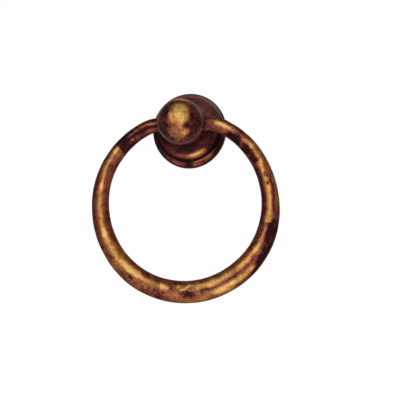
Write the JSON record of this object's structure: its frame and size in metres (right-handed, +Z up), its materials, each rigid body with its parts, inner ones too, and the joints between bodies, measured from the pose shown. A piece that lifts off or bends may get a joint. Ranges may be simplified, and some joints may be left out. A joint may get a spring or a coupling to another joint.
{
  "type": "ring door knocker",
  "caption": "Antique brass ring door knocker: tapered ring hung in the cross bore of a ball-headed post on a round stepped rosette, with a through stud, washers and nut.",
  "frame": {"origin": "centre of the rosette's back face, on the face of the door", "axes": "+Y into the door along the fixing stud, -Y out towards the caller, +Z up, +X to the right"},
  "size_m": [0.0996, 0.0956, 0.1136],
  "materials": {
    "rosette_brass": "dark patina with worn gold edges, lacquered",
    "post_brass": "dark patina worn to gold on the front of the ball, lacquered",
    "ring_brass": "dark patina worn to gold along the front, lacquered",
    "lock_nut_brass": "turned, dull",
    "fixing_steel": "zinc plated"
  },
  "bodies": {
    "mounted_base": {"rosette": "rosette_brass", "ball_post": "post_brass", "post_lock_nut": "lock_nut_brass", "fixing_stud": "fixing_steel", "anti_turn_pin_left": "fixing_steel", "anti_turn_pin_right": "fixing_steel", "door_washer": "fixing_steel", "spring_washer": "fixing_steel", "fixing_nut": "fixing_steel"},
    "swinging_ring": {"knocker_ring": "ring_brass"}
  },
  "joints": [
    {"name": "ring_swing", "type": "hinge", "parent": "mounted_base", "child": "swinging_ring", "pos_m": [0, -0.0193, 0], "axis": [-1, 0, 0], "range_deg": [-8.6, 188.6]}
  ]
}
